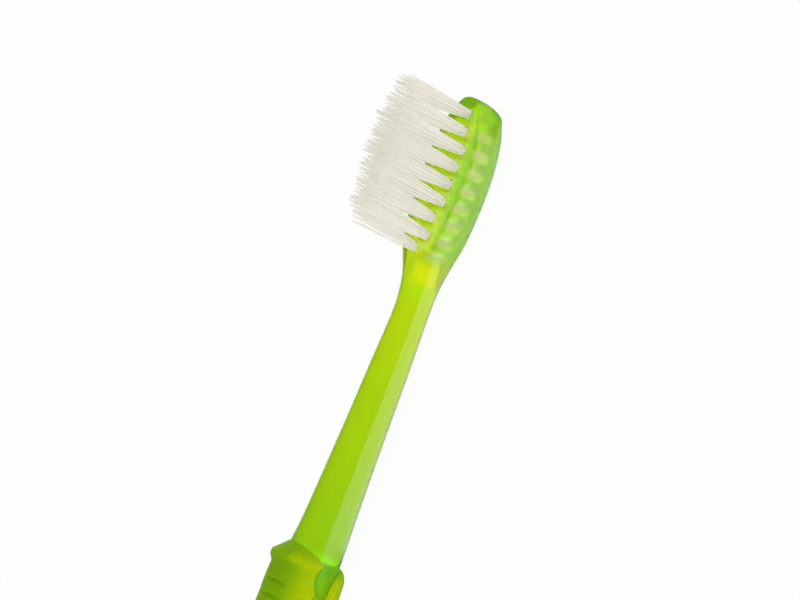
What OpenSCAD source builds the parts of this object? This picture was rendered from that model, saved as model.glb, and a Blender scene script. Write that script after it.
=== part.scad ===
// Manual toothbrush lying on its back: the tip points along +X and the bristles along +Z.
// The origin is under the middle of the brush, on the surface that it lies on.
// A place along the brush is its distance from the tip.

/* [Brush] */
// Length from the butt to the tip
brush_length = 185; // [175:1:205]
// Height of the bristle face above the surface that the brush lies on
face_height = 5.95; // [5.7:0.05:7]

/* [Head] */
// Length from the tip to the start of the neck
head_length = 21.5; // [21:0.1:24]
// Width
head_width = 10.4; // [10.2:0.1:12]
// Thickness
head_thickness = 5.2; // [4.8:0.1:5.6]
// Length of the oval end at the tip, seen from above
tip_length = 9; // [7:0.1:10]
// Rounding of the tip's back edge, seen from the side
tip_round = 1.6; // [1:0.1:2.4]
// Depth of the foremost point of the tip below the bristle face
nose_drop = 0.46; // [0.3:0.02:0.8]

/* [Neck] */
// Thickness at its thinnest place
neck_thickness = 4.4; // [4:0.02:5.5]
// Distance from the tip to the thinnest place
neck_waist_place = 27; // [25.5:0.1:30]
// Depth of the neck's centre below the bristle face at the thinnest place
neck_drop = 2.82; // [2.4:0.02:3.2]
// Rise of the neck's centre from the thinnest place to the grip
neck_rise = 0.7; // [0:0.05:1.2]
// Thickness where the neck meets the grip
neck_root_thickness = 6.66; // [6:0.02:7.6]

/* [Handle] */
// Width of the hard core under the start of the grips
thumb_width = 8.9; // [8.4:0.1:11]
// Height of the hard core's front under the start of the thumb grip
thumb_front_height = 6.9; // [6.6:0.05:7.8]
// Widest part of the handle, in the palm
palm_width = 12.6; // [12:0.1:15]
// Height of the handle's front in the palm
palm_front_height = 9.5; // [9:0.1:11]
// Length of the oval butt, seen from above
butt_length = 9; // [6:0.5:12]
// Rounding of the butt, seen from the side
butt_round = 5; // [3:0.5:7]

/* [Grips] */
// Distance from the tip to the thumb grip
grip_place = 57.25; // [54:0.05:62]
// Length of the thumb grip
thumb_grip_length = 46; // [36:0.5:50]
// Distance from the thumb grip's start to the palm grip's start
palm_grip_lag = 1.3; // [0.5:0.1:2]
// Length of the palm grip
palm_grip_length = 92; // [84:1:100]
// Thickness of the soft rubber along the middle of a grip
rubber_thickness = 1.1; // [0.9:0.05:1.4]
// Thickness of the soft rubber at its edges
rubber_edge = 0.35; // [0.25:0.05:0.6]
// Length of the slope up to the lip at the thumb grip's start
lip_length = 1.65; // [1:0.05:2]
// Height of the lip over the thumb grip behind it
lip_height = 0.55; // [0.1:0.05:0.6]
// Spacing of the scallops along the edges of the grips
scallop_pitch = 3.6; // [3:0.1:5]
// Spacing of the cross grooves in the thumb grip
groove_pitch = 1.86; // [1.5:0.02:2.4]
// Depth of the cross grooves
groove_depth = 0.34; // [0.2:0.02:0.5]
// Distance from the thumb grip's start to the first cross groove
groove_start = 5.25; // [4:0.05:7]
// Gap between the soft rubber and the hard core
rubber_fit = 0.05; // [0.04:0.01:0.1]
// Angle of the thumb grip's edge above the handle's widest level, at the points between scallops
thumb_edge_angle = 9; // [5:1:14]
// Angle that each scallop bites into the thumb grip's edge
thumb_bite_angle = 11; // [4:1:14]
// Angle of the palm grip's edge below the handle's widest level, at the points between scallops
palm_edge_angle = 5; // [3:1:10]
// Angle that each scallop bites into the palm grip's edge
palm_bite_angle = 8; // [4:1:12]

/* [Tufts] */
// Distance from the tip to the first row of holes
first_row_place = 2.1; // [2:0.05:2.6]
// Spacing of the rows along the head
row_pitch = 2.2; // [2.1:0.02:2.3]
// Spacing of the last row from the one before it
last_row_pitch = 1.75; // [1.7:0.02:2]
// Spacing of the columns across the head
column_pitch = 1.7; // [1.66:0.02:2]
// Diameter of a tuft hole
hole_diameter = 1.36; // [1.3:0.02:1.42]
// Depth of a tuft hole
hole_depth = 3.2; // [2.6:0.1:3.4]
// Height of the bristle tips above the bristle face
bristle_length = 9.7; // [8:0.1:12]
// Lean of the tufts towards the tip, in degrees
bristle_lean = 6.4; // [0:0.2:8]
// Width of a tuft at the bristle tips, across the head
tuft_tip_width = 1.6; // [1.4:0.02:1.62]
// Width of a tuft at the bristle tips, along the head
tuft_tip_length = 2.0; // [1.6:0.02:2.06]
// Thickness of a strand where it leaves the tuft's root
strand_thickness = 0.25; // [0.18:0.01:0.26]
// Thickness of a strand at its tip
strand_tip_thickness = 0.19; // [0.1:0.01:0.2]
// Height of the packed root above the bristle face
root_height = 0.4; // [0.2:0.05:0.8]
// Gap between a tuft's root and its hole
root_fit = 0.02; // [0.01:0.005:0.04]

/* [Anchors] */
// Width of an anchor plate, which bites into the wall on both sides of its hole
anchor_width = 1.56; // [1.5:0.02:1.6]
// Height of an anchor plate along its hole
anchor_height = 1.3; // [1:0.05:1.5]
// Thickness of an anchor plate
anchor_thickness = 0.25; // [0.15:0.01:0.3]
// Height of the folded filaments under an anchor plate
fold_height = 0.4; // [0.3:0.02:0.6]
// Turn of the anchor plates from square across the head, in degrees
anchor_turn = 20; // [0:1:30]
// Gap between an anchor plate and the filaments folded round it
anchor_fit = 0.01; // [0.005:0.005:0.03]

/* [Hidden] */
// Tufts in each row from the tip
row_counts = [2, 3, 4, 4, 4, 4, 3, 3, 1];
// Strands on each ring of a tuft, and the ring's radius as a share of the tuft's
ring_counts = [1, 5, 8];
ring_radius_shares = [0, 0.54, 1];
last_row = len(row_counts) - 1;
TUFTS = [for (r = [0:last_row]) for (c = [0:row_counts[r] - 1]) [r, c]];
function tuft_name(tuft) = str("tuft_row_", tuft[0] + 1, "_column_", tuft[1] + 1);
// Thinnest layer, which keeps the ends of a grip from closing up
leaf = 0.05;

// Head sections: share of the head's length, of its width, the front's fall and the back's depth as
// shares of its thickness, the widest level as a share of the section's height, then how square the
// front and the back are (2 is an oval).
head_shares = [
    [0.00, 1.00, 0.000, 0.86, 0.69, 7.0, 3.2],
    [0.10, 1.00, 0.000, 0.89, 0.69, 7.0, 3.2],
    [0.20, 1.00, 0.000, 0.94, 0.69, 7.0, 3.2],
    [0.50, 1.00, 0.000, 1.00, 0.69, 7.0, 3.2],
    [0.72, 0.90, 0.000, 1.01, 0.68, 7.0, 3.1],
    [0.82, 0.83, 0.000, 0.99, 0.66, 6.0, 3.0],
    [0.90, 0.74, 0.008, 0.96, 0.62, 4.5, 2.8],
    [1.02, 0.57, 0.075, 0.94, 0.55, 2.8, 2.4],
    [1.12, 0.46, 0.100, 0.95, 0.51, 2.2, 2.1]
];
// Neck sections from the thinnest place to the grip: shares of the neck's length, of its gain in
// thickness and of its rise.
neck_shares = [
    [0, 0, 0], [0.25, 0.23, 0.18], [0.45, 0.38, 0.38], [0.65, 0.57, 0.6], [0.84, 0.78, 0.8], [1, 1, 1]
];
// Shoulder sections between the neck and the grip: lip lengths from the thumb grip's start, and the
// share of the change from the neck's section to the grip's.
shoulder_shares = [[0.9, 0.3], [2, 0.82], [3.2, 1]];
// Handle sections: share of the stretch's length, of the gain from the thumb's width to the palm's, of the
// gain in the rubber seat's height, whether the front is rubber's seat (0) or flush with it (1), and the
// back's height as a share of the seat's. Under the thumb grip, then on to the palm grip's end, then on to
// the butt.
thumb_shares = [[0.25, 0.14, -0.04, 0, 1], [0.55, 0.5, 0.12, 0, 1], [1, 0.5, 0.66, 0, 1]];
palm_shares = [[0.03, 0.5, 0.7, 1, 1], [0.3, 0.52, 0.86, 1, 1], [0.62, 0.92, 1, 1, 1], [1, 1, 0.95, 1, 1]];
butt_shares = [
    [0.04, 1, 0.93, 1, 0.1], [0.35, 0.9, 0.8, 1, 0.08], [0.75, 0.7, 0.6, 1, 0.5], [1, 0.5, 0.4, 1, 0.9]
];
// How square the sections under the grips are (2 is an oval)
grip_square = 2.3;
// Where the lip ends and how long it falls, as shares of the lip's slope
lip_end_share = 1.9;
lip_fall_share = 0.5;
// How late the rubber thins from its middle towards its edges
rubber_fall_power = 3;

// Facets round the hard handle, and across a grip
sides = 24;
pad_sides = 10;
neck_length = grip_place - neck_waist_place;
shoulder_place = grip_place + shoulder_shares[2][0] * lip_length;
thumb_end = grip_place + thumb_grip_length;
palm_place = grip_place + palm_grip_lag;
palm_end = palm_place + palm_grip_length;
seat_height = rubber_thickness - leaf;
neck_gain = (neck_root_thickness - neck_thickness) / 2;
neck_level = face_height - neck_drop;
root_radius = neck_root_thickness / 2;
root_level = neck_level + neck_rise;

function along(share, from, to) = from + share * (to - from);
function place_x(place) = brush_length / 2 - place;

// Sections of the hard handle: place, half width, front height, back height, widest level as a share,
// squareness of the front and of the back.
head_rows = [for (h = head_shares) [
    h[0] * head_length, h[1] * head_width / 2, face_height - h[2] * head_thickness,
    face_height - h[3] * head_thickness, h[4], h[5], h[6]]];
neck_rows = [for (n = neck_shares) let (
    radius = neck_thickness / 2 + n[1] * neck_gain,
    level = neck_level + n[2] * neck_rise)
    [neck_waist_place + n[0] * neck_length, radius, level + radius, level - radius, 0.5, 2, 2]];
shoulder_rows = [for (h = shoulder_shares) [
    grip_place + h[0] * lip_length,
    along(h[1], root_radius, thumb_width / 2),
    along(h[1], root_level + root_radius, thumb_front_height),
    along(h[1], root_level - root_radius, seat_height),
    0.5, along(h[1], 2, grip_square), along(h[1], 2, grip_square)]];
function handle_rows(shares, from, to) = [for (h = shares) [
    along(h[0], from, to),
    along(h[1], thumb_width, palm_width) / 2,
    along(h[2], thumb_front_height, palm_front_height - rubber_thickness) + h[3] * rubber_thickness,
    h[4] * seat_height,
    0.5, grip_square, grip_square]];
rows = concat(head_rows, neck_rows, shoulder_rows,
    handle_rows(thumb_shares, shoulder_place, thumb_end),
    handle_rows(palm_shares, thumb_end, palm_end),
    handle_rows(butt_shares, palm_end, brush_length));

// A smooth curve through one column of the rows, with each slope taken from the neighbouring rows.
function slope(i, column) = let (low = max(i - 1, 0), high = min(i + 1, len(rows) - 1))
    (rows[high][column] - rows[low][column]) / (rows[high][0] - rows[low][0]);
function row_before(place) = max([for (i = [0:len(rows) - 2]) rows[i][0] <= place ? i : 0]);
function curve(place, column) = let (
    i = row_before(place),
    span = rows[i + 1][0] - rows[i][0],
    t = min(max((place - rows[i][0]) / span, 0), 1))
    rows[i][column] * (1 + 2 * t) * (1 - t) * (1 - t) + slope(i, column) * span * t * (1 - t) * (1 - t)
    + rows[i + 1][column] * t * t * (3 - 2 * t) + slope(i + 1, column) * span * t * t * (t - 1);

// Share of the full size left at a distance from a rounded end.
function rounding(distance, reach) = distance >= reach ? 1
    : sqrt(1 - pow(1 - max(distance, 0) / reach, 2));
function width_share(place) = rounding(place, tip_length) * rounding(brush_length - place, butt_length);
function level(place) = curve(place, 3) + curve(place, 4) * (curve(place, 2) - curve(place, 3));
function nose_blend(height, place, reach) =
    along(rounding(place, reach), face_height - nose_drop, height);
function butt_blend(height, place) =
    along(rounding(brush_length - place, butt_round), level(place), height);
function front(place) = butt_blend(nose_blend(curve(place, 2), place, nose_drop), place);
function back(place) = butt_blend(nose_blend(curve(place, 3), place, tip_round), place);
function widest(place) = butt_blend(nose_blend(level(place), place, tip_round), place);
function signed_power(value, power) = sign(value) * pow(abs(value), power);

// A point on the hard handle: angle 0 is its +Y side and 90 its front. Raise moves it outwards.
function skin(place, angle, raise = 0) = let (
    square = sin(angle) >= 0 ? curve(place, 5) : curve(place, 6),
    half_width = curve(place, 1) * width_share(place) + raise,
    mid = widest(place),
    reach = (sin(angle) >= 0 ? front(place) - mid : mid - back(place)) + raise)
    [place_x(place), half_width * signed_power(cos(angle), 2 / square),
     mid + reach * signed_power(sin(angle), 2 / square)];

// Evenly spaced places, without the last one.
function places(from, to, step) = let (count = ceil((to - from) / step - leaf / step))
    [for (i = [0:count - 1]) from + (to - from) * i / count];

// Closed solid through rings of points that all hold the same number of points.
module loft(rings) {
    size = len(rings[0]);
    last = len(rings) - 1;
    walls = [for (i = [0:last - 1]) for (j = [0:size - 1]) let (
        a = i * size + j, b = i * size + (j + 1) % size, c = a + size, d = b + size)
        each [[a, b, d], [a, d, c]]];
    first_end = [for (j = [size - 1:-1:0]) j];
    last_end = [for (j = [0:size - 1]) last * size + j];
    polyhedron(points = [for (ring = rings) each ring], faces = concat(walls, [first_end, last_end]));
}

// Ring spacing, finest at the tip and the shoulder.
end_angles = [4, 17, 33, 50, 69];
head_step = 1.05;
neck_step = 2.6;
shoulder_step = 0.6;
handle_step = 4.2;
tip_places = [for (a = end_angles) tip_round * (1 - cos(a))];
butt_places = [for (i = [len(end_angles) - 1:-1:0]) brush_length - butt_round * (1 - cos(end_angles[i]))];
handle_places = concat(
    tip_places,
    places(tip_round, neck_waist_place, head_step),
    places(neck_waist_place, grip_place, neck_step),
    places(grip_place, shoulder_place, shoulder_step),
    places(shoulder_place, thumb_end, handle_step),
    places(thumb_end, thumb_end + 2 * lip_length, shoulder_step),
    places(thumb_end + 2 * lip_length, palm_end, handle_step),
    places(palm_end, palm_end + lip_length, shoulder_step),
    places(palm_end + lip_length, brush_length - butt_length, handle_step),
    places(brush_length - butt_length, brush_length - butt_round, head_step),
    butt_places);

// Tuft frames: the middle of a hole's mouth is the origin and the tuft stands along +Z.
function row_place(row) = first_row_place + min(row, last_row - 1) * row_pitch
    + (row == last_row ? last_row_pitch : 0);
function tuft_y(tuft) = (tuft[1] - (row_counts[tuft[0]] - 1) / 2) * column_pitch;
module at_tuft(tuft) {
    translate([place_x(row_place(tuft[0])), tuft_y(tuft), face_height])
        rotate([0, bristle_lean, 0]) children();
}

module hole() {
    translate([0, 0, -hole_depth]) cylinder(h = hole_depth + head_thickness, d = hole_diameter, $fn = 32);
}

module anchor(gap = 0) {
    rotate([0, 0, anchor_turn])
        translate([0, 0, -hole_depth + fold_height + anchor_height / 2])
            cube([anchor_thickness + 2 * gap, anchor_width + 2 * gap, anchor_height + 2 * gap],
                center = true);
}

module handle() {
    color([0.55, 0.8, 0.05])
        difference() {
            loft([for (p = handle_places) [for (j = [0:sides - 1]) skin(p, j * 360 / sides)]]);
            for (t = TUFTS)
                at_tuft(t) {
                    hole();
                    anchor();
                }
        }
}

module tuft_anchors() {
    color([0.78, 0.72, 0.52])
        for (t = TUFTS)
            at_tuft(t) anchor();
}

// One filament strand with three sides, from the root at the origin's level up to the trimmed tip.
module strand(root, tip, foot, height) {
    rings = [for (end = [[root, foot, strand_thickness], [tip, height, strand_tip_thickness]])
        [for (a = [0:120:240]) let (way = [cos(a), sin(a)] * end[2] / 2) concat(end[0] + way, end[1])]];
    polyhedron(points = [for (ring = rings) each ring],
        faces = [[0, 1, 2], [5, 4, 3], [0, 3, 4], [0, 4, 1], [1, 4, 5], [1, 5, 2], [2, 5, 3], [2, 3, 0]]);
}

module tuft(tuft) {
    root_radius = hole_diameter / 2 - root_fit;
    reach = root_radius - strand_thickness / 2;
    tip_reach = [tuft_tip_length - strand_tip_thickness, tuft_tip_width - strand_tip_thickness] / 2;
    color([0.9, 0.89, 0.85])
        at_tuft(tuft) {
            difference() {
                translate([0, 0, -hole_depth + root_fit])
                    cylinder(h = hole_depth - root_fit + root_height, r = root_radius, $fn = 32);
                anchor(anchor_fit);
            }
            for (k = [0:len(ring_counts) - 1])
                for (i = [0:ring_counts[k] - 1]) {
                    angle = (i + k / 2) * 360 / ring_counts[k];
                    way = [cos(angle), sin(angle)] * ring_radius_shares[k];
                    tip = [way[0] * tip_reach[0], way[1] * tip_reach[1]];
                    strand(way * reach, tip, root_height / 2, bristle_length);
                }
        }
}

// Edge of a grip as an angle up from the widest level: the rubber runs out to a point between scallops.
function scallop(place, from) = abs(sin(180 * (place - from) / scallop_pitch));
function end_round(place, from, to, reach) = rounding(place - from, reach) * rounding(to - place, reach);
function grip_edge(place, from, to, point_angle, bite_angle) =
    90 - (90 - point_angle - bite_angle * scallop(place, from + lip_length))
    * end_round(place, from - leaf, to + leaf, lip_length + leaf);

// Thickness of the rubber at an angle: full along its middle and thin at its edges.
function rubber(full, angle, edge_angle) = let (
    share = sqrt(max(0, 1 - pow(abs(angle - 90) / (90 - edge_angle), rubber_fall_power))))
    along(share, min(rubber_edge, full), full);

// A grip is a strip of rubber on the hard handle. Turn is 1 on the front and -1 on the back.
module grip(rings_at, turn, from, to, point_angle, bite_angle, lip) {
    loft([for (p = rings_at) let (
        edge = grip_edge(p, from, to, point_angle, bite_angle),
        ramp = min(1, (p - from) / lip_length),
        start = lip > 0 ? ramp : rounding(p - from + leaf, lip_length),
        climb = start * rounding(to + leaf - p, lip_length + leaf),
        swell = lip * min(1, max(0, from + lip_end_share * lip_length - p) / (lip_fall_share * lip_length)),
        full = rubber_fit + leaf + (rubber_thickness + swell - leaf) * climb,
        angles = [for (j = [0:pad_sides]) along(j / pad_sides, edge, 180 - edge)],
        outer = [for (a = angles) skin(p, turn * a, rubber(full, a, edge))],
        inner = [for (j = [pad_sides:-1:0]) skin(p, turn * angles[j], rubber_fit)],
        ring = concat(outer, inner))
        turn > 0 ? ring : [for (j = [len(ring) - 1:-1:0]) ring[j]]]);
}

function pad_places(from, to) = concat(
    places(from, from + 2 * lip_length, lip_length / 4),
    places(from + 2 * lip_length, to - lip_length, scallop_pitch / 4),
    places(to - lip_length, to, lip_length / 4), [to]);

module thumb_grip() {
    groove_count = floor((thumb_grip_length - 2 * groove_start) / groove_pitch);
    color([0.62, 0.72, 0.02])
        difference() {
            grip(pad_places(grip_place, thumb_end), 1, grip_place, thumb_end,
                thumb_edge_angle, thumb_bite_angle, lip_height);
            for (i = [0:groove_count]) {
                place = grip_place + groove_start + i * groove_pitch;
                translate([place_x(place), 0, front(place) + rubber_thickness + rubber_fit])
                    rotate([90, 0, 0]) cylinder(h = thumb_width, r = groove_depth, center = true, $fn = 24);
            }
        }
}

// The palm grip is cut flat where the brush lies on it.
module palm_grip() {
    color([0.62, 0.72, 0.02])
        difference() {
            grip(pad_places(palm_place, palm_end), -1, palm_place, palm_end,
                palm_edge_angle, palm_bite_angle, 0);
            translate([place_x(palm_end) - lip_length, -palm_width, -rubber_thickness])
                cube([palm_grip_length + 2 * lip_length, 2 * palm_width, rubber_thickness]);
        }
}

handle();
thumb_grip();
palm_grip();
tuft_anchors();
for (t = TUFTS)
    tuft(t);
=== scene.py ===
import math
import random

import bmesh
import bpy
from mathutils import Matrix, Vector


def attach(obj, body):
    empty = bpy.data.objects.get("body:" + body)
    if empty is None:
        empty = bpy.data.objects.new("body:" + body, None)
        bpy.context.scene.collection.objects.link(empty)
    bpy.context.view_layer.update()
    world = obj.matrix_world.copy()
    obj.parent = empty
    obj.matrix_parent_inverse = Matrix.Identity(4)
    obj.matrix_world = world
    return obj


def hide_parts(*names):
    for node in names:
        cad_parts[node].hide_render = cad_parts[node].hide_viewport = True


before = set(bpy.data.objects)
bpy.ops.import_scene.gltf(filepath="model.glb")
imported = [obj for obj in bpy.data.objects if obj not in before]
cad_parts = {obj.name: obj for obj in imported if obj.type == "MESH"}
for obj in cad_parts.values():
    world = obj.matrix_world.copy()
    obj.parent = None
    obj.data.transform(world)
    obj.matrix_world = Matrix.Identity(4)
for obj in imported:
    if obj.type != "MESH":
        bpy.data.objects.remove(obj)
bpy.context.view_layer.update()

# Camera: it looks down on the lying brush from its side, turned so that the tip points up to the
# right, through a lens so long that the brush shows almost no perspective. Sizes and places are in
# millimetres.
MM = 0.001
CAMERA_RISE = math.radians(31)
CAMERA_ROLL = math.radians(69.5)
CAMERA_LENS = 300
SENSOR_WIDTH = 36
NEAREST_SEEN = 10
FARTHEST_SEEN = 20000
VIEW_WIDTH = 95.8
VIEW_CENTRE = Vector((66.7, -0.34, 5.38))

across = Vector((1, 0, 0))
upwards = Vector((0, math.sin(CAMERA_RISE), math.cos(CAMERA_RISE)))
backwards = Vector((0, -math.cos(CAMERA_RISE), math.sin(CAMERA_RISE)))
camera_right = across * math.cos(CAMERA_ROLL) - upwards * math.sin(CAMERA_ROLL)
camera_up = across * math.sin(CAMERA_ROLL) + upwards * math.cos(CAMERA_ROLL)
camera_axes = Matrix((camera_right, camera_up, backwards)).transposed()
camera_data = bpy.data.cameras.new("camera")
camera_data.lens = CAMERA_LENS
camera_data.sensor_width = SENSOR_WIDTH
camera_data.clip_start = NEAREST_SEEN * MM
camera_data.clip_end = FARTHEST_SEEN * MM
camera = bpy.data.objects.new("camera", camera_data)
bpy.context.scene.collection.objects.link(camera)
eye = VIEW_CENTRE + backwards * VIEW_WIDTH * CAMERA_LENS / SENSOR_WIDTH
camera.matrix_world = Matrix.Translation(eye * MM) @ camera_axes.to_4x4()
bpy.context.scene.camera = camera
bpy.context.scene.view_settings.view_transform = "Standard"


# Studio: a wide white paper floor that glows white to the camera and through clear plastic, and whose
# mirror image on the brush is bright only beside the head and the neck, with a painted shadow under
# the brush. Three soft lamps light it under a dim sky: two low ones on the camera's side, towards the
# tip and towards the butt, and one above.
FLOOR_REACH = 3000
FLOOR_COLOUR = (0.95, 0.95, 0.95, 1)
FLOOR_ROUGHNESS = 0.9
FLOOR_GLOW_SHARE = 0.92
FLOOR_SIDES = 64
PAINTED_SHADOW_LEVEL = 0.45
UNDER_BRUSH_EDGE = 1
BESIDE_BRUSH_EDGE = 3
HEAD_START_X = 68
HEAD_WIDE_X = 73
HEAD_EXTRA_WIDTH = 2.5
PAST_NECK_LEVEL = 0.15
NECK_MIDDLE_X = 63.5
NECK_BRIGHT_REACH = 26
NECK_DARK_REACH = 29
HORIZON_LEVEL = 0.7
HIGH_SKY_LEVEL = 0.06
HIGH_SKY_RISE = 0.12
SKY_LIGHT_LEVEL = 0.3
LAMP_DISTANCE = 800
LAMP_POWER = 2.5
# Lamps: name, azimuth and elevation in degrees, size
LAMPS = (("lamp_tip", -50, 25, 500), ("lamp_butt", -130, 25, 500), ("lamp_above", -90, 88, 900))


def new_object(name, bm):
    mesh = bpy.data.meshes.new(name)
    bm.to_mesh(mesh)
    bm.free()
    thing = bpy.data.objects.new(name, mesh)
    bpy.context.scene.collection.objects.link(thing)
    return thing


def new_material(name):
    material = bpy.data.materials.new(name)
    material.use_nodes = True
    return material, material.node_tree


def make_node(tree, kind, **settings):
    node = tree.nodes.new(kind)
    for setting, value in settings.items():
        setattr(node, setting, value)
    return node


def feed(tree, socket, value):
    """Gives a socket its own value, or the output of another node."""
    if isinstance(value, bpy.types.NodeSocket):
        tree.links.new(value, socket)
    else:
        socket.default_value = value


def set_surface(tree, sockets):
    """Feeds the sockets of the material's own surface by their names."""
    surface = tree.nodes["Principled BSDF"]
    for name, value in sockets.items():
        feed(tree, surface.inputs[name], value)


def show_either(tree, share, other):
    """Shows the material's own surface, and the other shader where the share is 1."""
    either = make_node(tree, "ShaderNodeMixShader")
    feed(tree, either.inputs["Fac"], share)
    feed(tree, either.inputs[1], tree.nodes["Principled BSDF"].outputs[0])
    feed(tree, either.inputs[2], other.outputs[0])
    feed(tree, tree.nodes["Material Output"].inputs["Surface"], either.outputs[0])


def object_axes(tree):
    """The outputs X, Y and Z of the point that is shaded."""
    split = make_node(tree, "ShaderNodeSeparateXYZ")
    feed(tree, split.inputs[0], make_node(tree, "ShaderNodeTexCoord").outputs["Object"])
    return split.outputs


def calculate(tree, operation, *values, **settings):
    node = make_node(tree, "ShaderNodeMath", operation=operation, **settings)
    for socket, value in zip(node.inputs, values):
        feed(tree, socket, value)
    return node.outputs[0]


def fade(tree, value, start, end, low=0, high=1, way="SMOOTHSTEP"):
    """Runs from low to high while the value runs from the start to the end."""
    node = make_node(tree, "ShaderNodeMapRange", interpolation_type=way)
    feed(tree, node.inputs["Value"], value)
    feed(tree, node.inputs["From Min"], start)
    feed(tree, node.inputs["From Max"], end)
    feed(tree, node.inputs["To Min"], low)
    feed(tree, node.inputs["To Max"], high)
    return node.outputs[0]


def blend(tree, share, first, second, kind="RGBA"):
    """The first colour or value, and the second where the share is 1."""
    node = make_node(tree, "ShaderNodeMix", data_type=kind)
    feed(tree, node.inputs["Factor"], share)
    feed(tree, node.inputs["A"], first)
    feed(tree, node.inputs["B"], second)
    return node.outputs["Result"]


bm = bmesh.new()
bmesh.ops.create_circle(bm, cap_ends=True, segments=FLOOR_SIDES, radius=FLOOR_REACH * MM)
floor = new_object("floor", bm)

floor_paper, tree = new_material("floor_paper")
set_surface(tree, {"Base Color": FLOOR_COLOUR, "Roughness": FLOOR_ROUGHNESS, "Specular IOR Level": 0})
axes = object_axes(tree)
along_brush = axes["X"]
off_axis = calculate(tree, "ABSOLUTE", axes["Y"])
# Painted shadow: the floor's glow seen in reflections is dimmed in a strip under the brush, widening under
# the head.
head_extra = fade(tree, along_brush, HEAD_START_X * MM, HEAD_WIDE_X * MM, 0, HEAD_EXTRA_WIDTH * MM)
off_brush = calculate(tree, "SUBTRACT", off_axis, head_extra)
outside_painted_shadow = fade(tree, off_brush, UNDER_BRUSH_EDGE * MM, BESIDE_BRUSH_EDGE * MM, PAINTED_SHADOW_LEVEL)
from_middle = calculate(tree, "SUBTRACT", along_brush, NECK_MIDDLE_X * MM)
past_neck = calculate(tree, "ABSOLUTE", from_middle)
near_neck = fade(tree, past_neck, NECK_DARK_REACH * MM, NECK_BRIGHT_REACH * MM, PAST_NECK_LEVEL)
mirrored_level = calculate(tree, "MINIMUM", outside_painted_shadow, near_neck)
ray = make_node(tree, "ShaderNodeLightPath").outputs
mirrored = calculate(tree, "SUBTRACT", ray["Is Glossy Ray"], ray["Is Transmission Ray"], use_clamp=True)
glow = make_node(tree, "ShaderNodeEmission")
feed(tree, glow.inputs["Strength"], blend(tree, mirrored, 1, mirrored_level, "FLOAT"))
seen = calculate(tree, "MAXIMUM", ray["Is Camera Ray"], ray["Is Glossy Ray"])
shown = calculate(tree, "MAXIMUM", seen, ray["Is Transmission Ray"])
show_either(tree, calculate(tree, "MULTIPLY", shown, FLOOR_GLOW_SHARE), glow)
floor.data.materials.append(floor_paper)

world = bpy.data.worlds.new("studio")
bpy.context.scene.world = world
world.use_nodes = True
tree = world.node_tree
direction = make_node(tree, "ShaderNodeSeparateXYZ")
feed(tree, direction.inputs[0], make_node(tree, "ShaderNodeTexCoord").outputs["Generated"])
mirrored_sky = fade(tree, direction.outputs["Z"], 0, HIGH_SKY_RISE, HORIZON_LEVEL, HIGH_SKY_LEVEL, "LINEAR")
ray = make_node(tree, "ShaderNodeLightPath").outputs
opaque_sky = blend(tree, ray["Is Glossy Ray"], SKY_LIGHT_LEVEL, mirrored_sky, "FLOAT")
sky = blend(tree, ray["Is Transmission Ray"], opaque_sky, 1, "FLOAT")
feed(tree, tree.nodes["Background"].inputs["Color"], sky)

for name, azimuth, elevation, size in LAMPS:
    lamp_data = bpy.data.lights.new(name, "AREA")
    lamp_data.energy = LAMP_POWER
    lamp_data.size = size * MM
    lamp = bpy.data.objects.new(name, lamp_data)
    bpy.context.scene.collection.objects.link(lamp)
    turn = math.radians(azimuth)
    rise = math.radians(elevation)
    way = Vector((math.cos(turn) * math.cos(rise), math.sin(turn) * math.cos(rise), math.sin(rise)))
    lamp.location = (VIEW_CENTRE + way * LAMP_DISTANCE) * MM
    lamp.rotation_euler = way.to_track_quat("Z", "Y").to_euler()
    lamp.visible_glossy = False
    lamp.visible_transmission = False


# Handle: one moulding of clear lime plastic, from the oval head with its 28 tuft holes through the
# slim round neck to the thick handle. The two rubber grips lie in shallow seats on it. The plastic
# shows deeper green along the neck. Painted glow: pale spots where the tuft roots lie in the head, and
# a light yellow under the bristle face and where the neck starts; painted shade: a deeper green along
# the face's rim and between the roots.
BRUSH_LENGTH = 185
FACE_HEIGHT = 5.95
HEAD_LENGTH = 21.5
HEAD_WIDTH = 10.4
HEAD_THICKNESS = 5.2
TIP_LENGTH = 9
TIP_ROUND = 1.6
NOSE_DROP = 0.46
NECK_THICKNESS = 4.4
NECK_WAIST_PLACE = 27
NECK_DROP = 2.82
NECK_RISE = 0.7
NECK_ROOT_THICKNESS = 6.66
THUMB_WIDTH = 8.9
THUMB_FRONT_HEIGHT = 6.9
PALM_WIDTH = 12.6
PALM_FRONT_HEIGHT = 9.5
BUTT_LENGTH = 9
BUTT_ROUND = 5
GRIP_PLACE = 57.25
THUMB_GRIP_LENGTH = 46
PALM_GRIP_LAG = 1.3
PALM_GRIP_LENGTH = 92
RUBBER_THICKNESS = 1.1
LIP_LENGTH = 1.65
SEAT_HEIGHT = 1.05
GRIP_SQUARE = 2.3
ROUND_SQUARE = 2
MIDDLE_SHARE = 0.5
WELD_DISTANCE = 0.0005
THUMB_END = GRIP_PLACE + THUMB_GRIP_LENGTH
PALM_PLACE = GRIP_PLACE + PALM_GRIP_LAG
PALM_END = PALM_PLACE + PALM_GRIP_LENGTH

# Head: share of its length, half width, front's fall, back's depth, widest level, then the squareness
# of the front and of the back
HEAD_SHARES = (
    (0.00, 1.00, 0.000, 0.86, 0.69, 7.0, 3.2),
    (0.10, 1.00, 0.000, 0.89, 0.69, 7.0, 3.2),
    (0.20, 1.00, 0.000, 0.94, 0.69, 7.0, 3.2),
    (0.50, 1.00, 0.000, 1.00, 0.69, 7.0, 3.2),
    (0.72, 0.90, 0.000, 1.01, 0.68, 7.0, 3.1),
    (0.82, 0.83, 0.000, 0.99, 0.66, 6.0, 3.0),
    (0.90, 0.74, 0.008, 0.96, 0.62, 4.5, 2.8),
    (1.02, 0.57, 0.075, 0.94, 0.55, 2.8, 2.4),
    (1.12, 0.46, 0.100, 0.95, 0.51, 2.2, 2.1),
)
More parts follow.
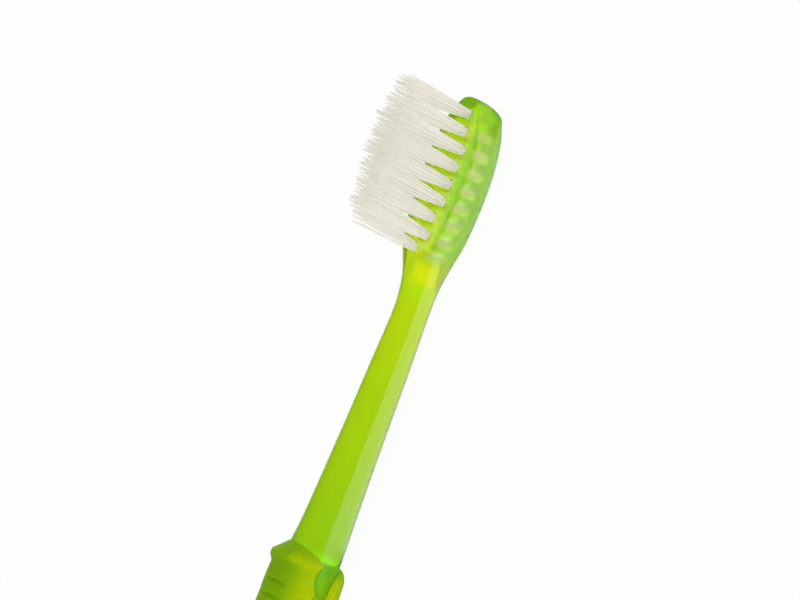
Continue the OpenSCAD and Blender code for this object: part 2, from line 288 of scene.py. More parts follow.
# Neck: share of its length, of its gain in thickness and of its rise
NECK_SHARES = (
    (0, 0, 0), (0.25, 0.23, 0.18), (0.45, 0.38, 0.38), (0.65, 0.57, 0.6), (0.84, 0.78, 0.8), (1, 1, 1),
)
# Shoulder: lip lengths from the grip's start, share of the change from the neck to the grip
SHOULDER_SHARES = ((0.9, 0.3), (2, 0.82), (3.2, 1))
# Handle: share of the stretch, of the gain in width and in height, then whether the front is flush
# with the rubber, and share of the back's height
THUMB_SHARES = ((0.25, 0.14, -0.04, 0, 1), (0.55, 0.5, 0.12, 0, 1), (1, 0.5, 0.66, 0, 1))
PALM_SHARES = ((0.03, 0.5, 0.7, 1, 1), (0.3, 0.52, 0.86, 1, 1), (0.62, 0.92, 1, 1, 1), (1, 1, 0.95, 1, 1))
BUTT_SHARES = (
    (0.04, 1, 0.93, 1, 0.1), (0.35, 0.9, 0.8, 1, 0.08), (0.75, 0.7, 0.6, 1, 0.5), (1, 0.5, 0.4, 1, 0.9),
)
SHOULDER_PLACE = GRIP_PLACE + SHOULDER_SHARES[-1][0] * LIP_LENGTH


def along(share, start, end):
    return start + share * (end - start)


def handle_rows():
    """Sections down the brush: place, half width, front, back, widest level, then both squarenesses."""
    rows = [
        (length * HEAD_LENGTH, width * HEAD_WIDTH / 2, FACE_HEIGHT - fall * HEAD_THICKNESS,
         FACE_HEIGHT - depth * HEAD_THICKNESS, widest, front, back)
        for length, width, fall, depth, widest, front, back in HEAD_SHARES
    ]
    neck_length = GRIP_PLACE - NECK_WAIST_PLACE
    neck_level = FACE_HEIGHT - NECK_DROP
    for length, gain, rise in NECK_SHARES:
        place = NECK_WAIST_PLACE + length * neck_length
        radius = along(gain, NECK_THICKNESS, NECK_ROOT_THICKNESS) / 2
        level = neck_level + rise * NECK_RISE
        rows.append((
            place, radius, level + radius, level - radius, MIDDLE_SHARE, ROUND_SQUARE, ROUND_SQUARE,
        ))
    root_radius = NECK_ROOT_THICKNESS / 2
    root_axis = neck_level + NECK_RISE
    for lips, share in SHOULDER_SHARES:
        square = along(share, ROUND_SQUARE, GRIP_SQUARE)
        rows.append((
            GRIP_PLACE + lips * LIP_LENGTH, along(share, root_radius, THUMB_WIDTH / 2),
            along(share, root_axis + root_radius, THUMB_FRONT_HEIGHT),
            along(share, root_axis - root_radius, SEAT_HEIGHT), MIDDLE_SHARE, square, square,
        ))
    stretches = (
        (THUMB_SHARES, SHOULDER_PLACE, THUMB_END),
        (PALM_SHARES, THUMB_END, PALM_END),
        (BUTT_SHARES, PALM_END, BRUSH_LENGTH),
    )
    for shares, start, end in stretches:
        for length, width, height, flush, bottom in shares:
            front = along(height, THUMB_FRONT_HEIGHT, PALM_FRONT_HEIGHT - RUBBER_THICKNESS)
            rows.append((
                along(length, start, end), along(width, THUMB_WIDTH, PALM_WIDTH) / 2,
                front + flush * RUBBER_THICKNESS, bottom * SEAT_HEIGHT, MIDDLE_SHARE,
                GRIP_SQUARE, GRIP_SQUARE,
            ))
    return rows


ROWS = handle_rows()


def curve(place, column):
    """A smooth curve through one column of the sections."""
    i = max([k for k in range(len(ROWS) - 1) if ROWS[k][0] <= place] or [0])
    span = ROWS[i + 1][0] - ROWS[i][0]
    t = min(max((place - ROWS[i][0]) / span, 0), 1)

    def slope(k):
        low = max(k - 1, 0)
        high = min(k + 1, len(ROWS) - 1)
        return (ROWS[high][column] - ROWS[low][column]) / (ROWS[high][0] - ROWS[low][0])

    return (
        ROWS[i][column] * (1 + 2 * t) * (1 - t) ** 2 + slope(i) * span * t * (1 - t) ** 2
        + ROWS[i + 1][column] * t * t * (3 - 2 * t) + slope(i + 1) * span * t * t * (t - 1)
    )


def rounding(distance, reach):
    """Share of the full size left at a distance from a rounded end."""
    return 1 if distance >= reach else math.sqrt(1 - (1 - max(distance, 0) / reach) ** 2)


def section(place):
    """Half width, widest level, front height, back height and the two squarenesses at a place."""
    low = curve(place, 3)
    high = curve(place, 2)
    level = low + curve(place, 4) * (high - low)

    def blended(height, reach):
        nose = along(rounding(place, reach), FACE_HEIGHT - NOSE_DROP, height)
        return along(rounding(BRUSH_LENGTH - place, BUTT_ROUND), level, nose)

    tip_share = rounding(place, TIP_LENGTH)
    butt_share = rounding(BRUSH_LENGTH - place, BUTT_LENGTH)
    return (curve(place, 1) * tip_share * butt_share, blended(level, TIP_ROUND), blended(high, NOSE_DROP),
            blended(low, TIP_ROUND), curve(place, 5), curve(place, 6))


def signed_power(value, power):
    return math.copysign(abs(value) ** power, value)


def skin(place, angle, lift, found):
    """A point of the found section, lifted off the hard plastic. Angle 0 is +Y, a quarter turn the front."""
    half_width, mid, high, low, front_square, back_square = found
    upper = math.sin(angle) >= 0
    power = 2 / (front_square if upper else back_square)
    reach = (high - mid if upper else mid - low) + lift
    return Vector((
        BRUSH_LENGTH / 2 - place, (half_width + lift) * signed_power(math.cos(angle), power),
        mid + reach * signed_power(math.sin(angle), power),
    ))


def draw_tube(bm, stations, around):
    """Extrudes a ring of unit radius along X through the stations and closes both ends."""
    turn = Matrix.Translation((stations[0], 0, 0)) @ Matrix.Rotation(math.pi / 2, 4, "Y")
    ring = bmesh.ops.create_circle(bm, segments=around, radius=1, matrix=turn)["verts"]
    edges = list({edge for vert in ring for edge in vert.link_edges})
    bmesh.ops.edgeloop_fill(bm, edges=edges)
    for before, station in zip(stations, stations[1:]):
        drawn = bmesh.ops.extrude_edge_only(bm, edges=edges)["geom"]
        ring = {part for part in drawn if isinstance(part, bmesh.types.BMVert)}
        edges = [part for part in drawn if isinstance(part, bmesh.types.BMEdge) and set(part.verts) <= ring]
        bmesh.ops.translate(bm, vec=(station - before, 0, 0), verts=list(ring))
    bmesh.ops.edgeloop_fill(bm, edges=edges)


def steps(start, end, step):
    """Even stations from the start to just before the end."""
    count = math.ceil((end - start) / step)
    return [along(k / count, start, end) for k in range(count)]


def finish_mesh(piece, sharp_degrees):
    """Turns a piece made in millimetres to metres, faces outwards, smooth but for its sharp edges."""
    bm = bmesh.new()
    bm.from_mesh(piece.data)
    bmesh.ops.remove_doubles(bm, verts=bm.verts, dist=WELD_DISTANCE)
    bmesh.ops.recalc_face_normals(bm, faces=bm.faces)
    bmesh.ops.scale(bm, vec=(MM, MM, MM), verts=bm.verts)
    bm.to_mesh(piece.data)
    bm.free()
    piece.data.shade_smooth()
    piece.data.set_sharp_from_angle(angle=math.radians(sharp_degrees))


ROW_COUNTS = (2, 3, 4, 4, 4, 4, 3, 3, 1)
FIRST_ROW_PLACE = 2.1
ROW_PITCH = 2.2
LAST_ROW_PITCH = 1.75
COLUMN_PITCH = 1.7
HOLE_RADIUS = 0.68
HOLE_DEPTH = 3.2
HOLE_FLARE = 0.06
HOLE_SIDES = 36
BRISTLE_LEAN = math.radians(6.4)


def tuft_matrices():
    """The frame of each tuft by row and column: its hole's mouth is the origin, and it stands along Z."""
    matrices = {}
    last = len(ROW_COUNTS) - 1
    for row, count in enumerate(ROW_COUNTS):
        place = FIRST_ROW_PLACE + min(row, last - 1) * ROW_PITCH + (LAST_ROW_PITCH if row == last else 0)
        for column in range(count):
            side = (column - (count - 1) / 2) * COLUMN_PITCH
            mouth = Matrix.Translation((BRUSH_LENGTH / 2 - place, side, FACE_HEIGHT))
            matrices[row + 1, column + 1] = mouth @ Matrix.Rotation(BRISTLE_LEAN, 4, "Y")
    return matrices


TUFTS = tuft_matrices()
HANDLE_SIDES = 96
HEAD_STEP = 0.35
NECK_STEP = 1.0
LIP_STEP = 0.3
GRIP_STEP = 1.5
BUTT_LIP_STEP = 0.2
BUTT_STEP = 0.8
END_DEGREES = (3, 9, 16, 24, 33, 43, 54, 66, 78)
HANDLE_SHARP_DEGREES = 32

end_shares = [1 - math.cos(math.radians(degrees)) for degrees in END_DEGREES]
stations = [TIP_ROUND * share for share in end_shares]
stations += steps(TIP_ROUND, NECK_WAIST_PLACE, HEAD_STEP)
stations += steps(NECK_WAIST_PLACE, GRIP_PLACE, NECK_STEP)
stations += steps(GRIP_PLACE, SHOULDER_PLACE, LIP_STEP)
stations += steps(SHOULDER_PLACE, THUMB_END, GRIP_STEP)
stations += steps(THUMB_END, THUMB_END + 2 * LIP_LENGTH, LIP_STEP)
stations += steps(THUMB_END + 2 * LIP_LENGTH, PALM_END, GRIP_STEP)
stations += steps(PALM_END, PALM_END + LIP_LENGTH, BUTT_LIP_STEP)
stations += steps(PALM_END + LIP_LENGTH, BRUSH_LENGTH - BUTT_ROUND, BUTT_STEP)
stations += [BRUSH_LENGTH - BUTT_ROUND * share for share in reversed(end_shares)]
bm = bmesh.new()
draw_tube(bm, stations, HANDLE_SIDES)
sections = {station: section(station) for station in stations}
for vert in bm.verts:
    station = min(sections, key=lambda s: abs(s - vert.co.x))
    vert.co = skin(station, math.atan2(vert.co.z, vert.co.y), 0, sections[station])
handle = new_object("handle_moulding", bm)

bm = bmesh.new()
for matrix in TUFTS.values():
    drill = bmesh.new()
    draw_tube(drill, [-HOLE_DEPTH, -HOLE_FLARE, HOLE_FLARE, HEAD_THICKNESS], HOLE_SIDES)
    for vert in drill.verts:
        radius = HOLE_RADIUS + (2 * HOLE_FLARE if vert.co.x > 0 else 0)
        vert.co = matrix @ Vector((vert.co.y * radius, vert.co.z * radius, vert.co.x))
    part = bpy.data.meshes.new("drill")
    drill.to_mesh(part)
    drill.free()
    bm.from_mesh(part)
bmesh.ops.recalc_face_normals(bm, faces=bm.faces)
drills = new_object("drills", bm)
cut = handle.modifiers.new("holes", "BOOLEAN")
cut.object = drills
cut.solver = "EXACT"
graph = bpy.context.evaluated_depsgraph_get()
handle.data = bpy.data.meshes.new_from_object(handle.evaluated_get(graph))
handle.modifiers.clear()
bpy.data.objects.remove(drills)
finish_mesh(handle, HANDLE_SHARP_DEGREES)

# Colours down the clear plastic: place from the tip, then the colour
LIME_PLACES = (
    (0, (0.54, 1, 0.01, 1)),
    (2.5, (0.6, 1, 0.01, 1)),
    (5, (0.64, 1, 0.04, 1)),
    (17.5, (0.64, 1, 0.04, 1)),
    (HEAD_LENGTH, (0.66, 0.9, 0.004, 1)),
    (NECK_WAIST_PLACE, (0.65, 0.78, 0.004, 1)),
    (40, (0.57, 0.74, 0.004, 1)),
    (57, (0.47, 0.7, 0.004, 1)),
    (58.5, (0.5, 1, 0.004, 1)),
    (SHOULDER_PLACE, (0.56, 1, 0.004, 1)),
)
LIT_FACE_LIME = (0.98, 0.99, 0.004, 1)
LIT_FACE_DEPTH = 1
TIP_LIT_SHARE = 0.12
ROWS_END_SHARE = 0.88
FACE_RIM_PAINTED_SHADE = (0.42, 0.82, 0.004, 1)
FACE_RIM_START = 2.7
FACE_RIM_END = 4.4
NECK_START_PAINTED_GLOW = (1, 0.97, 0.004, 1)
NECK_START_CORE = 0.8
NECK_START_REACH = 2.4
NECK_SIDE_START = 0.3
NECK_SIDE_END = 1.5
BETWEEN_ROOTS_PAINTED_SHADE = (0.58, 0.85, 0.03, 1)
ROOT_PAINTED_GLOW = (1, 1, 0.5, 1)
ROOT_TOP_START = 0.05
ROOT_TOP_END = 0.6
ROOT_FOOT_SHARE = 0.4
ROOT_WAVE_START = -0.9
BETWEEN_ROOTS_SHARE = 0.2
DULL_REACH = 1.5
LIME_DEPTH_COLOUR = (0.935, 0.985, 0.75, 1)
LIME_DEPTH_DENSITY = 900
LIME_LAMP_TINT = (0.93, 0.97, 0.9, 1)


def make_uneven_gloss():
    """The group that all the brush's materials share: a cloudy mask, and a roughness that follows it."""
    group = bpy.data.node_groups.new("uneven_gloss", "ShaderNodeTree")
    for name in ("Scale", "Detail", "Smoothest", "Roughest"):
        group.interface.new_socket(name=name, in_out="INPUT", socket_type="NodeSocketFloat")
    for name in ("Cloud", "Roughness"):
        group.interface.new_socket(name=name, in_out="OUTPUT", socket_type="NodeSocketFloat")
    given = make_node(group, "NodeGroupInput").outputs
    result = make_node(group, "NodeGroupOutput").inputs
    cloud = make_node(group, "ShaderNodeTexNoise")
    feed(group, cloud.inputs["Vector"], make_node(group, "ShaderNodeTexCoord").outputs["Object"])
    feed(group, cloud.inputs["Scale"], given["Scale"])
    feed(group, cloud.inputs["Detail"], given["Detail"])
    gloss = fade(group, cloud.outputs["Fac"], 0, 1, given["Smoothest"], given["Roughest"], "LINEAR")
    feed(group, result["Cloud"], cloud.outputs["Fac"])
    feed(group, result["Roughness"], gloss)
    return group


UNEVEN_GLOSS = make_uneven_gloss()


def add_uneven_gloss(tree, **given):
    """Places the uneven gloss in a material, feeds its roughness to the surface, and returns its mask."""
    node = make_node(tree, "ShaderNodeGroup", node_tree=UNEVEN_GLOSS)
    for name, value in given.items():
        feed(tree, node.inputs[name], value)
    set_surface(tree, {"Roughness": node.outputs["Roughness"]})
    return node.outputs["Cloud"]


def colour_ramp(tree, value, stops, way="LINEAR"):
    """A colour that follows a value through its stops, each a position and a colour."""
    node = make_node(tree, "ShaderNodeValToRGB")
    node.color_ramp.interpolation = way
    made = node.color_ramp.elements
    made[0].position, made[0].color = stops[0]
    made[1].position, made[1].color = stops[-1]
    for position, colour in stops[1:-1]:
        made.new(position).color = colour
    feed(tree, node.inputs[0], value)
    return node.outputs[0]


def add_bumps(tree, height, strength, distance):
    node = make_node(tree, "ShaderNodeBump")
    feed(tree, node.inputs["Strength"], strength)
    feed(tree, node.inputs["Distance"], distance)
    feed(tree, node.inputs["Height"], height)
    set_surface(tree, {"Normal": node.outputs[0]})


def let_lamps_through(tree, tint):
    """Lets the lamps' rays pass a clear material, tinted, so that what is inside it is lit."""
    clear = make_node(tree, "ShaderNodeBsdfTransparent")
    feed(tree, clear.inputs["Color"], tint)
    show_either(tree, make_node(tree, "ShaderNodeLightPath").outputs["Is Shadow Ray"], clear)


def place_x(place):
    """X, in metres, of a place that is given in millimetres from the tip."""
    return (BRUSH_LENGTH / 2 - place) * MM


def depth_z(depth):
    """Z, in metres, of a depth in millimetres under the bristle face."""
    return (FACE_HEIGHT - depth) * MM


lime_plastic, tree = new_material("lime_plastic")
axes = object_axes(tree)
along_brush = axes["X"]
off_middle = calculate(tree, "ABSOLUTE", axes["Y"])
height = axes["Z"]
down = fade(tree, along_brush, place_x(0), place_x(SHOULDER_PLACE), way="LINEAR")
lime = colour_ramp(tree, down, [(place / SHOULDER_PLACE, colour) for place, colour in LIME_PLACES], "EASE")
from_head_end = calculate(tree, "SUBTRACT", along_brush, place_x(HEAD_LENGTH))
head_end_gap = calculate(tree, "ABSOLUTE", from_head_end)
neck_start = fade(tree, head_end_gap, NECK_START_REACH * MM, NECK_START_CORE * MM)
neck_side = fade(tree, off_middle, NECK_SIDE_START * MM, NECK_SIDE_END * MM)
# Painted glow: where the neck leaves the head, off its middle line, the plastic turns a light yellow.
lime = blend(tree, calculate(tree, "MULTIPLY", neck_start, neck_side), lime, NECK_START_PAINTED_GLOW)
second_row = FIRST_ROW_PLACE + ROW_PITCH
past_tip = fade(tree, along_brush, place_x(FIRST_ROW_PLACE), place_x(second_row), TIP_LIT_SHARE)
before_neck = fade(tree, along_brush, place_x(HEAD_LENGTH), place_x(ROWS_END_SHARE * HEAD_LENGTH))
in_rows = calculate(tree, "MULTIPLY", past_tip, before_neck)
near_face = fade(tree, height, depth_z(LIT_FACE_DEPTH), depth_z(0))
lit_face = calculate(tree, "MULTIPLY", near_face, in_rows)
# Painted light: the plastic just under the bristle face, among the tuft rows, turns light yellow as if lit
# from above.
lime = blend(tree, lit_face, lime, LIT_FACE_LIME)
# Painted shade: along the face's rim beside the tufts, the light yellow gives way to a deeper green.
beside_tufts = fade(tree, off_middle, FACE_RIM_START * MM, FACE_RIM_END * MM)
lime = blend(tree, calculate(tree, "MULTIPLY", lit_face, beside_tufts), lime, FACE_RIM_PAINTED_SHADE)
above_foot = fade(tree, height, depth_z(HOLE_DEPTH), depth_z(ROOT_FOOT_SHARE * HOLE_DEPTH))
below_face = fade(tree, height, depth_z(ROOT_TOP_START), depth_z(ROOT_TOP_END))
root_level = calculate(tree, "MULTIPLY", above_foot, below_face)
beside_roots = calculate(tree, "MULTIPLY", root_level, in_rows)
# Painted shade: at the depth of the tuft roots, the plastic among the rows is a darker green.
lime = blend(tree, beside_roots, lime, BETWEEN_ROOTS_PAINTED_SHADE)
# Painted glow: pale spots at the roots' depth, strongest at each row of holes, where the tuft roots lie.
row_turn = 2 * math.pi / (ROW_PITCH * MM)
phase = calculate(tree, "MULTIPLY_ADD", along_brush, row_turn, -row_turn * place_x(FIRST_ROW_PLACE))
row_wave = calculate(tree, "COSINE", phase)
at_row = fade(tree, row_wave, ROOT_WAVE_START, 1, BETWEEN_ROOTS_SHARE)
lime = blend(tree, calculate(tree, "MULTIPLY", beside_roots, at_row), lime, ROOT_PAINTED_GLOW)
polished = fade(tree, along_brush, place_x(GRIP_PLACE + DULL_REACH), place_x(GRIP_PLACE))
set_surface(tree, {
    "Base Color": lime,
    "Transmission Weight": 0.72,
    "IOR": 1.4,
    "Coat Weight": polished,
    "Coat Roughness": 0.12,
    "Subsurface Weight": 1,
    "Subsurface Radius": (1.0, 1.2, 0.25),
    "Subsurface Scale": 1.5 * MM,
})
flow = add_uneven_gloss(tree, Scale=160, Detail=3, Smoothest=0.12, Roughest=0.17)
add_bumps(tree, flow, strength=0.06, distance=0.2 * MM)
depth = make_node(tree, "ShaderNodeVolumeAbsorption")
feed(tree, depth.inputs["Color"], LIME_DEPTH_COLOUR)
feed(tree, depth.inputs["Density"], LIME_DEPTH_DENSITY)
feed(tree, tree.nodes["Material Output"].inputs["Volume"], depth.outputs[0])
let_lamps_through(tree, LIME_LAMP_TINT)
handle.data.materials.clear()
handle.data.materials.append(lime_plastic)
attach(handle, "root")
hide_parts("handle")


# Grips: two strips of soft olive rubber, moulded on to the front and the back of the handle. Their
# edges run in scallops. The thumb grip has a lip with a small round mark at its start, and cross
# grooves behind it.
RUBBER_EDGE = 0.35
RUBBER_FIT = 0.05
RUBBER_FALL_POWER = 3
LEAF = 0.05
LIP_HEIGHT = 0.55
LIP_END_SHARE = 1.9
LIP_FALL_SHARE = 0.5
SCALLOP_PITCH = 3.6
THUMB_POINT_DEGREES = 9
THUMB_BITE_DEGREES = 11
THUMB_STEP = 0.12
THUMB_CELLS = 48
PALM_POINT_DEGREES = 5
PALM_BITE_DEGREES = 8
PALM_NOSE = 5
PALM_STEP = 0.25
PALM_CELLS = 24
GROOVE_PITCH = 1.86
GROOVE_DEPTH = 0.34
GROOVE_START = 5.25
GRIP_SHARP_DEGREES = 40
DOT_PLACE = Vector((33.96, -2.95, 8.28))
DOT_RADIUS = 1.2
DOT_HEIGHT = 0.12
DOT_EDGE_SHARE = 0.85
DOT_PALENESS = 0.3
DEEP_OLIVE = (0.24, 0.48, 0.001, 1)
PALE_OLIVE = (0.50, 0.61, 0.001, 1)
OLIVE_LAMP_TINT = (0.75, 0.8, 0.2, 1)
OLIVE_START = 0.05
OLIVE_END = 0.9
THIN_START = 1.8
THIN_END = 5.2
THIN_EDGE_GLOW = 0.8
MOTTLE_PALENESS = 0.2
GRAIN_SCALE = 5200


def lay_strip(bm, stations, cells):
    """A closed slab: along X a whole number for each station, along Y 0 to 1 across, and Z 0 or 1."""
    count = len(stations) - 1
    flat = Matrix.Translation((count / 2, 0.5, 0)) @ Matrix.Diagonal((count, 1, 1, 1))
    bmesh.ops.create_grid(bm, x_segments=count, y_segments=cells, size=0.5, matrix=flat)
    thick = bmesh.ops.extrude_face_region(bm, geom=bm.faces[:])["geom"]
    raised = [part for part in thick if isinstance(part, bmesh.types.BMVert)]
    bmesh.ops.translate(bm, vec=(0, 0, 1), verts=raised)


def make_grip(name, front, start, end, point_degrees, bite_degrees, lip, nose, step, cells):
    """A grip on the front (1) or the back (-1) of the handle."""
    stations = steps(start, end, step) + [end]
    bm = bmesh.new()
    lay_strip(bm, stations, cells)
    laid = []
    for place in stations:
        end_share = rounding(end + LEAF - place, LIP_LENGTH + LEAF)
        ends = rounding(place - start + LEAF, nose + LEAF) * end_share
        scallop = abs(math.sin(math.pi * (place - start - LIP_LENGTH) / SCALLOP_PITCH))
        edge = 90 - (90 - point_degrees - bite_degrees * scallop) * ends
        ramp = min(1, (place - start) / LIP_LENGTH) if lip else rounding(place - start + LEAF, LIP_LENGTH)
        fall = start + LIP_END_SHARE * LIP_LENGTH - place
        swell = lip * min(1, max(0, fall / (LIP_FALL_SHARE * LIP_LENGTH)))
        full = RUBBER_FIT + LEAF + (RUBBER_THICKNESS + swell - LEAF) * ramp * end_share
        laid.append((place, edge, full, section(place)))
    grooves = []
    if lip:
        count = math.floor((THUMB_GRIP_LENGTH - 2 * GROOVE_START) / GROOVE_PITCH)
        for k in range(count + 1):
            place = start + GROOVE_START + k * GROOVE_PITCH
            grooves.append((place, section(place)[2] + RUBBER_THICKNESS + RUBBER_FIT))
    for vert in bm.verts:
        place, edge, full, found = laid[round(vert.co.x)]
        angle = along(vert.co.y, edge, 180 - edge)
        turn = front * math.radians(angle)
        lift = RUBBER_FIT
        outside = vert.co.z > 0.5
        if outside:
            share = math.sqrt(max(0, 1 - (abs(angle - 90) / (90 - edge)) ** RUBBER_FALL_POWER))
            lift = along(share, min(RUBBER_EDGE, full), full)
        spot = skin(place, turn, lift, found)
        if outside:
            dot_share = (spot - DOT_PLACE).length / DOT_RADIUS
            if dot_share < 1:
                spot = skin(place, turn, lift + DOT_HEIGHT * math.sqrt(1 - dot_share ** 2), found)
            for groove, top in grooves:
                if abs(place - groove) < GROOVE_DEPTH:
                    bottom = top - math.sqrt(GROOVE_DEPTH ** 2 - (place - groove) ** 2)
                    spot.z = min(spot.z, max(bottom, 0))
        spot.z = max(spot.z, 0)
        vert.co = spot
    grip = new_object(name, bm)
    finish_mesh(grip, GRIP_SHARP_DEGREES)
    return grip


thumb_grip = make_grip(
    "thumb_grip_rubber", 1, GRIP_PLACE, THUMB_END, THUMB_POINT_DEGREES, THUMB_BITE_DEGREES,
    LIP_HEIGHT, LIP_LENGTH, THUMB_STEP, THUMB_CELLS,
)
palm_grip = make_grip(
    "palm_grip_rubber", -1, PALM_PLACE, PALM_END, PALM_POINT_DEGREES, PALM_BITE_DEGREES,
    0, PALM_NOSE, PALM_STEP, PALM_CELLS,
)

olive_rubber, tree = new_material("olive_rubber")
spot = make_node(tree, "ShaderNodeTexCoord").outputs["Object"]
cloud = add_uneven_gloss(tree, Scale=220, Detail=4, Smoothest=0.34, Roughest=0.48)
off_middle = calculate(tree, "ABSOLUTE", object_axes(tree)["Y"])
# Painted light: the rubber turns paler towards its thin side edges, as if lit through them; the cloud adds a
# random mottle.
thin_edge_glow = fade(tree, off_middle, THIN_START * MM, THIN_END * MM, 0, THIN_EDGE_GLOW)
dot_gap = make_node(tree, "ShaderNodeVectorMath", operation="DISTANCE")
feed(tree, dot_gap.inputs[0], spot)
feed(tree, dot_gap.inputs[1], DOT_PLACE * MM)
dot_edge = DOT_RADIUS * DOT_EDGE_SHARE * MM
dot_mark = fade(tree, dot_gap.outputs["Value"], DOT_RADIUS * MM, dot_edge, 0, DOT_PALENESS, "LINEAR")
mottle_and_edge_glow = calculate(tree, "MULTIPLY_ADD", cloud, MOTTLE_PALENESS, thin_edge_glow)
paleness = calculate(tree, "ADD", mottle_and_edge_glow, dot_mark)
olive = colour_ramp(tree, paleness, ((OLIVE_START, DEEP_OLIVE), (OLIVE_END, PALE_OLIVE)))
set_surface(tree, {
    "Base Color": olive,
    "Transmission Weight": 0.3,
    "IOR": 1.4,
    "Specular IOR Level": 0.1,
    "Subsurface Weight": 1,
    "Subsurface Radius": (1.0, 1.0, 0.2),
    "Subsurface Scale": 1.2 * MM,
})
grain = make_node(tree, "ShaderNodeTexNoise")
feed(tree, grain.inputs["Scale"], GRAIN_SCALE)
feed(tree, grain.inputs["Vector"], spot)
add_bumps(tree, grain.outputs["Fac"], strength=0.12, distance=0.05 * MM)
let_lamps_through(tree, OLIVE_LAMP_TINT)
for grip, node in ((thumb_grip, "thumb_grip"), (palm_grip, "palm_grip")):
    grip.data.materials.append(olive_rubber)
    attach(grip, "root")
    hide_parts(node)


# Anchors: small stamped brass plates, driven into each hole over the fold of its filaments, with both
# ends bitten into the plastic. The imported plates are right, and only get their metal.
DEEP_BRASS = (0.72, 0.70, 0.45, 1)
PALE_BRASS = (0.86, 0.85, 0.60, 1)

anchor_brass, tree = new_material("anchor_brass")
rolled = add_uneven_gloss(tree, Scale=2600, Detail=2, Smoothest=0.25, Roughest=0.45)
brass = colour_ramp(tree, rolled, ((0, DEEP_BRASS), (1, PALE_BRASS)))
set_surface(tree, {"Base Color": brass, "Metallic": 1})
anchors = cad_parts["tuft_anchors"]
anchors.data.materials.clear()
anchors.data.materials.append(anchor_brass)


# Tufts: each is a bundle of round nylon filaments, folded in half under its anchor plate, so that both
# halves stand up from the hole. They are trimmed in a low dome, a little unevenly, with rounded ends.
BRISTLE_LENGTH = 9.7
TUFT_TIP_WIDTH = 2.2
TUFT_TIP_LENGTH = 2.8
SPREAD_POWER = 0.75
FILAMENT_RADIUS = 0.08
FILAMENT_SIDES = 6
TIP_RADIUS = 0.05
TIP_FLAT_SHARE = 0.5
TIP_STATION_SHARES = (0, 0.02, 0.5)
ANCHOR_THICKNESS = 0.25
FOLD_HEIGHT = 0.4
FOLD_DEGREES = (20, 60, 90, 120, 160)
ROOT_FIT = 0.02
LAYER_GAP = 0.145
CLOSED_GAP = 0.05
CLOSING_LENGTH = 1.4
LIMB_HEIGHTS = (-2.4, -1.4, -0.6, 0.1, 1.6, 3.6, 6.0, 8.2, BRISTLE_LENGTH)
TRIM_SPREAD = 0.35
TRIM_DOME = 0.8
WANDER = 0.1
GATHERING = 0.055
TUFT_SHARP_DEGREES = 60
DEEP_NYLON = (0.85, 0.83, 0.76, 1)
PALE_NYLON = (0.90, 0.885, 0.82, 1)
NYLON_START = 0.3
NYLON_END = 0.7
PAINTED_LIGHT_NYLON = (1, 1, 1, 1)
PAINTED_LIGHT_START = 0.2
PAINTED_LIGHT_END = 0.8
SEEDS_PER_ROW = 100


def filament_feet():
    """Where one half's filaments stand in the hole: distance from the plate, and place along it."""
    feet = []
    away = ANCHOR_THICKNESS / 2 + FILAMENT_RADIUS
    reach = HOLE_RADIUS - ROOT_FIT - FILAMENT_RADIUS
    while away < reach:
        half = math.sqrt(reach ** 2 - away ** 2)
        count = max(1, math.floor(half / FILAMENT_RADIUS + 1))
        for k in range(count):
            side = along(k / (count - 1), -half, half) if count > 1 else 0
            feet.append((away, side))
        away += LAYER_GAP
    return feet


def filament_path(away, side, pull, draw):
    """Points of one folded filament, from one trimmed tip down round the plate and up to the other."""
    reach = HOLE_RADIUS - ROOT_FIT - FILAMENT_RADIUS
    spread = [(width / 2 - FILAMENT_RADIUS) / reach for width in (TUFT_TIP_LENGTH, TUFT_TIP_WIDTH)]
    nearest = ANCHOR_THICKNESS / 2 + FILAMENT_RADIUS
    closed = along((away - nearest) / (reach - nearest), CLOSED_GAP, reach)
    widened = math.sqrt((reach ** 2 - closed ** 2) / (reach ** 2 - away ** 2))

    def limb(sign):
        dome = TRIM_DOME * (closed ** 2 + (side * widened) ** 2) / reach ** 2
        trim = draw.uniform(-TRIM_SPREAD, TRIM_SPREAD) - dome
        drift = Vector((draw.gauss(pull, WANDER), draw.gauss(0, WANDER)))
        points = []
        for height in LIMB_HEIGHTS:
            share = (max(0, height) / BRISTLE_LENGTH) ** SPREAD_POWER
            closing = min(1, max(0, 1 + height / CLOSING_LENGTH))
            foot = Vector((sign * along(closing, away, closed), side * along(closing, 1, widened)))
            foot.x = foot.x * along(share, 1, spread[0]) + drift.x * share
            foot.y = foot.y * along(share, 1, spread[1]) + drift.y * share
            points.append(Vector((foot.x, foot.y, height + trim * share)))
        return points

    bottom = -HOLE_DEPTH + ROOT_FIT + FILAMENT_RADIUS
    bend = -HOLE_DEPTH + FOLD_HEIGHT
    sag = bottom - bend
    fold = []
    for degrees in FOLD_DEGREES:
        angle = math.radians(degrees)
        fold.append(Vector((-away * math.cos(angle), side, bend + sag * math.sin(angle))))
    return list(reversed(limb(-1))) + fold + limb(1)


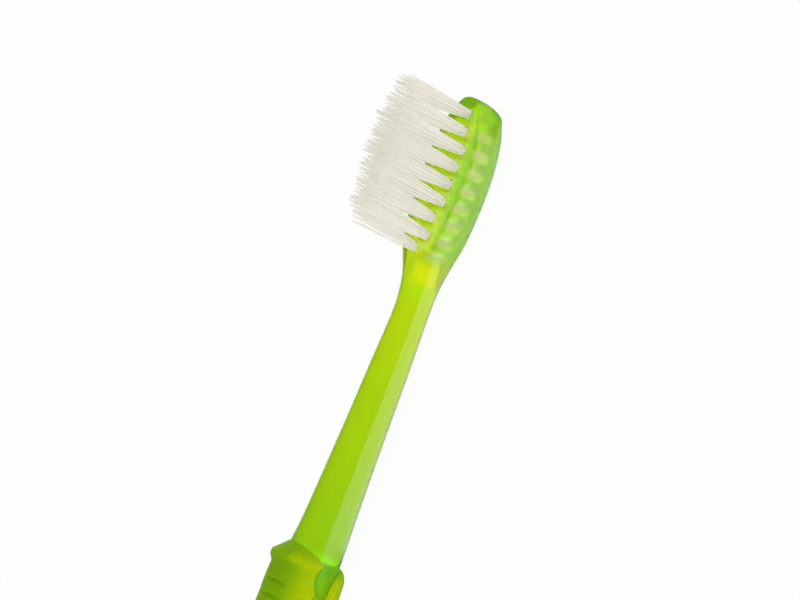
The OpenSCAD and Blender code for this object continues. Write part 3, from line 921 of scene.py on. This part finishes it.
def draw_filament(path, matrix):
    """The mesh of one filament along its path, with both of its tips rounded."""
    strand = bmesh.new()
    last = len(path) - 1
    stations = list(TIP_STATION_SHARES) + list(range(1, last))
    stations += [last - share for share in reversed(TIP_STATION_SHARES)]
    draw_tube(strand, stations, FILAMENT_SIDES)
    for vert in strand.verts:
        station = min(max(vert.co.x, 0), last)
        low = min(int(station), last - 1)
        spot = path[low].lerp(path[low + 1], station - low)
        way = path[low + 1] - path[low]
        if station == low and low > 0:
            way = path[low + 1] - path[low - 1]
        from_tip = min(station, last - station)
        radius = FILAMENT_RADIUS if from_tip > 1 else along(from_tip, TIP_RADIUS, FILAMENT_RADIUS)
        if from_tip == 0:
            radius = TIP_RADIUS * TIP_FLAT_SHARE
        turned = way.to_track_quat("X", "Z")
        vert.co = matrix @ (spot + turned @ Vector((0, vert.co.y, vert.co.z)) * radius)
    part = bpy.data.meshes.new("strand")
    strand.to_mesh(part)
    strand.free()
    return part


nylon, tree = new_material("bristle_nylon")
streak = add_uneven_gloss(tree, Scale=900, Detail=2, Smoothest=0.28, Roughest=0.4)
off_white = colour_ramp(tree, streak, ((NYLON_START, DEEP_NYLON), (NYLON_END, PALE_NYLON)))
# Painted light: the filaments below the face, in the holes, turn pure white, so that the roots show brighter
# through the plastic.
in_hole = fade(tree, object_axes(tree)["Z"], depth_z(PAINTED_LIGHT_START), depth_z(PAINTED_LIGHT_END))
off_white = blend(tree, in_hole, off_white, PAINTED_LIGHT_NYLON)
set_surface(tree, {"Base Color": off_white, "Transmission Weight": 0.2, "IOR": 1.53})

middle_row = (len(ROW_COUNTS) + 1) // 2
middle_row_x = TUFTS[middle_row, 1].translation.x
for (row, column), matrix in TUFTS.items():
    draw = random.Random(SEEDS_PER_ROW * row + column)
    pull = GATHERING * (middle_row_x - matrix.translation.x)
    bm = bmesh.new()
    for away, side in filament_feet():
        part = draw_filament(filament_path(away, side, pull, draw), matrix)
        bm.from_mesh(part)
        bpy.data.meshes.remove(part)
    tuft = new_object(f"tuft_row_{row}_column_{column}_filaments", bm)
    finish_mesh(tuft, TUFT_SHARP_DEGREES)
    tuft.data.materials.append(nylon)
    tuft.visible_shadow = False
    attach(tuft, "root")
    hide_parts(f"tuft_row_{row}_column_{column}")
